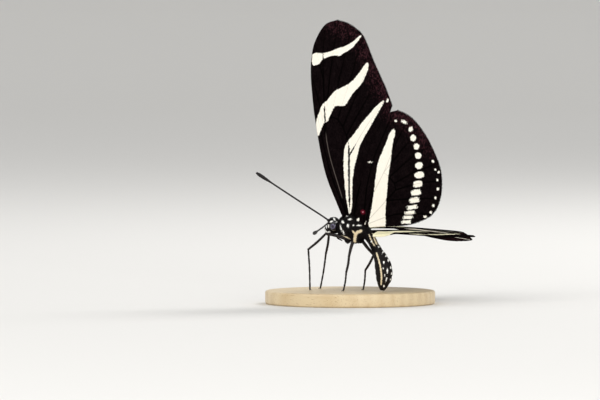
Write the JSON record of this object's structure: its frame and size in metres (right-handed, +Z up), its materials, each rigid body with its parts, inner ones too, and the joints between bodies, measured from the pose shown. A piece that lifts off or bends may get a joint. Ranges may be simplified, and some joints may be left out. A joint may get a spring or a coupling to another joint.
{
  "type": "zebra longwing butterfly",
  "caption": "Life-size still model of a zebra longwing butterfly, black wings with pale yellow stripes, left wings raised and right wings spread, standing on a thin round wooden base.",
  "frame": {"origin": "centre of the base's underside", "axes": "the head points to -X, the body's left side to -Y and up is +Z; the underside of the base faces -Z"},
  "size_m": [0.0452, 0.0625, 0.0634],
  "materials": {
    "wing_scales": "matte",
    "body_scales": "matte",
    "leg": "satin",
    "antenna": "satin",
    "tongue": "satin",
    "compound_eye": "gloss",
    "base_wood": "satin"
  },
  "bodies": {
    "root": {"head": "body_scales", "eye_left": "compound_eye", "eye_right": "compound_eye", "palp_left": "body_scales", "palp_right": "body_scales", "proboscis": "tongue", "antenna_left": "antenna", "antenna_right": "antenna", "thorax": "body_scales", "abdomen_front": "body_scales", "abdomen_middle": "body_scales", "abdomen_tip": "body_scales", "forewing_left": "wing_scales", "forewing_right": "wing_scales", "hindwing_left": "wing_scales", "hindwing_right": "wing_scales", "foreleg_left": "leg", "foreleg_right": "leg", "leg_mid_left_femur": "leg", "leg_mid_left_tibia": "leg", "leg_mid_left_tarsus": "leg", "leg_mid_right_femur": "leg", "leg_mid_right_tibia": "leg", "leg_mid_right_tarsus": "leg", "leg_hind_left_femur": "leg", "leg_hind_left_tibia": "leg", "leg_hind_left_tarsus": "leg", "leg_hind_right_femur": "leg", "leg_hind_right_tibia": "leg", "leg_hind_right_tarsus": "leg", "stand_base": "base_wood"}
  },
  "joints": []
}
